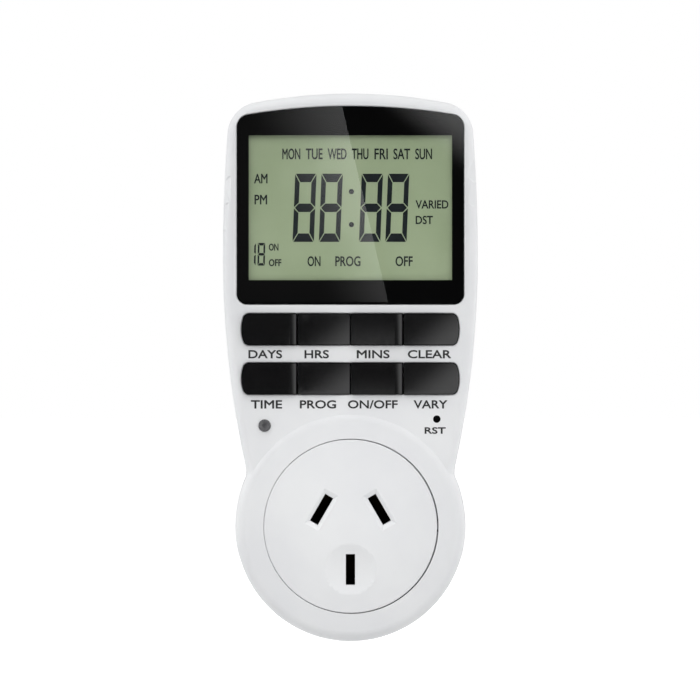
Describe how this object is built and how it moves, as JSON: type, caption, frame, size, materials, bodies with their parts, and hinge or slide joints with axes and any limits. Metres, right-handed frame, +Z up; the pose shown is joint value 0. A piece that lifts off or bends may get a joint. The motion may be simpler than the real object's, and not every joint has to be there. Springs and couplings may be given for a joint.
{
  "type": "plug-in digital timer switch",
  "caption": "Plug-in digital timer switch: display window, two rows of push keys, indicator lamp and a three-slot socket in front, a three-pin plug behind.",
  "frame": {"origin": "centre of the pin pattern on the flat back face that meets the wall outlet", "axes": "+Y into the wall, along the plug's pins; +Z up, along the long side; +X to the right of someone facing the display"},
  "size_m": [0.0618, 0.0624, 0.1311],
  "materials": {
    "case": "satin moulded",
    "black": "glossy moulded",
    "lens": "clear polished",
    "film": "printed",
    "lcd": "polarised glass",
    "frame": "moulded",
    "silicone": "moulded",
    "strip": "layered",
    "board": "solder resist",
    "steel": "zinc plated",
    "brass": "stamped",
    "nickel": "nickel plated",
    "copper": "enamelled winding",
    "relay": "moulded",
    "component": "moulded",
    "capacitor": "moulded",
    "sleeve_can": "shrink sleeve",
    "disc": "dipped",
    "resistor": "dipped",
    "lamp": "tinted",
    "wire_live": "insulation",
    "wire_neutral": "insulation",
    "ribbon": "insulation"
  },
  "bodies": {
    "case": {"front_housing": "case", "rear_housing": "case", "case_screws": "steel", "board_screws": "steel", "display_window": "lens", "window_mask": "film", "lcd_cell": "lcd", "lcd_frame": "frame", "contact_strips": "strip", "keypad_mat": "silicone", "indicator_lamp": "lamp", "lamp_leads": "steel", "reset_switch": "component", "control_board": "board", "control_chip": "component", "clock_crystal": "steel", "backup_battery": "steel", "battery_tabs": "nickel", "power_board": "board", "relay_base": "component", "relay_cover": "relay", "relay_coil": "copper", "relay_yoke": "steel", "relay_contact": "brass", "film_capacitor": "capacitor", "can_capacitor": "sleeve_can", "surge_disc": "disc", "fuse_resistor": "resistor", "rectifier_diodes": "component", "relay_transistor": "component", "ribbon_cable": "ribbon", "socket_face": "case", "socket_base": "frame", "live_contact": "brass", "neutral_contact": "brass", "earth_contact": "brass", "neutral_link": "brass", "earth_link": "brass", "pin_carrier": "frame", "live_pin": "nickel", "neutral_pin": "nickel", "earth_pin": "nickel", "pin_sleeves": "component", "live_wire": "wire_live", "neutral_wire": "wire_neutral", "load_wire": "wire_live"},
    "day_key": {"day_key": "black"},
    "hour_key": {"hour_key": "black"},
    "minute_key": {"minute_key": "black"},
    "clear_key": {"clear_key": "black"},
    "clock_key": {"clock_key": "black"},
    "program_key": {"program_key": "black"},
    "mode_key": {"mode_key": "black"},
    "random_key": {"random_key": "black"},
    "reset_button": {"reset_button": "black"},
    "relay_armature": {"relay_armature": "steel"}
  },
  "joints": [
    {"name": "day_key_press", "type": "slide", "parent": "case", "child": "day_key", "axis": [0, 1, 0], "range_m": [0, 0.001], "stiffness_N_per_m": 600, "springref_m": -0.0005, "deforming": ["keypad_mat"]},
    {"name": "hour_key_press", "type": "slide", "parent": "case", "child": "hour_key", "axis": [0, 1, 0], "range_m": [0, 0.001], "stiffness_N_per_m": 600, "springref_m": -0.0005, "deforming": ["keypad_mat"]},
    {"name": "minute_key_press", "type": "slide", "parent": "case", "child": "minute_key", "axis": [0, 1, 0], "range_m": [0, 0.001], "stiffness_N_per_m": 600, "springref_m": -0.0005, "deforming": ["keypad_mat"]},
    {"name": "clear_key_press", "type": "slide", "parent": "case", "child": "clear_key", "axis": [0, 1, 0], "range_m": [0, 0.001], "stiffness_N_per_m": 600, "springref_m": -0.0005, "deforming": ["keypad_mat"]},
    {"name": "clock_key_press", "type": "slide", "parent": "case", "child": "clock_key", "axis": [0, 1, 0], "range_m": [0, 0.001], "stiffness_N_per_m": 600, "springref_m": -0.0005, "deforming": ["keypad_mat"]},
    {"name": "program_key_press", "type": "slide", "parent": "case", "child": "program_key", "axis": [0, 1, 0], "range_m": [0, 0.001], "stiffness_N_per_m": 600, "springref_m": -0.0005, "deforming": ["keypad_mat"]},
    {"name": "mode_key_press", "type": "slide", "parent": "case", "child": "mode_key", "axis": [0, 1, 0], "range_m": [0, 0.001], "stiffness_N_per_m": 600, "springref_m": -0.0005, "deforming": ["keypad_mat"]},
    {"name": "random_key_press", "type": "slide", "parent": "case", "child": "random_key", "axis": [0, 1, 0], "range_m": [0, 0.001], "stiffness_N_per_m": 600, "springref_m": -0.0005, "deforming": ["keypad_mat"]},
    {"name": "reset_press", "type": "slide", "parent": "case", "child": "reset_button", "axis": [0, 1, 0], "range_m": [0, 0.0003], "stiffness_N_per_m": 1500, "springref_m": -0.0002},
    {"name": "armature_close", "type": "hinge", "parent": "case", "child": "relay_armature", "pos_m": [0.0166, -0.0238, 0.041], "axis": [0, 0, -1], "range_deg": [0, 2.6], "stiffness_Nm_per_rad": 0.02, "springref_deg": -1.15}
  ]
}
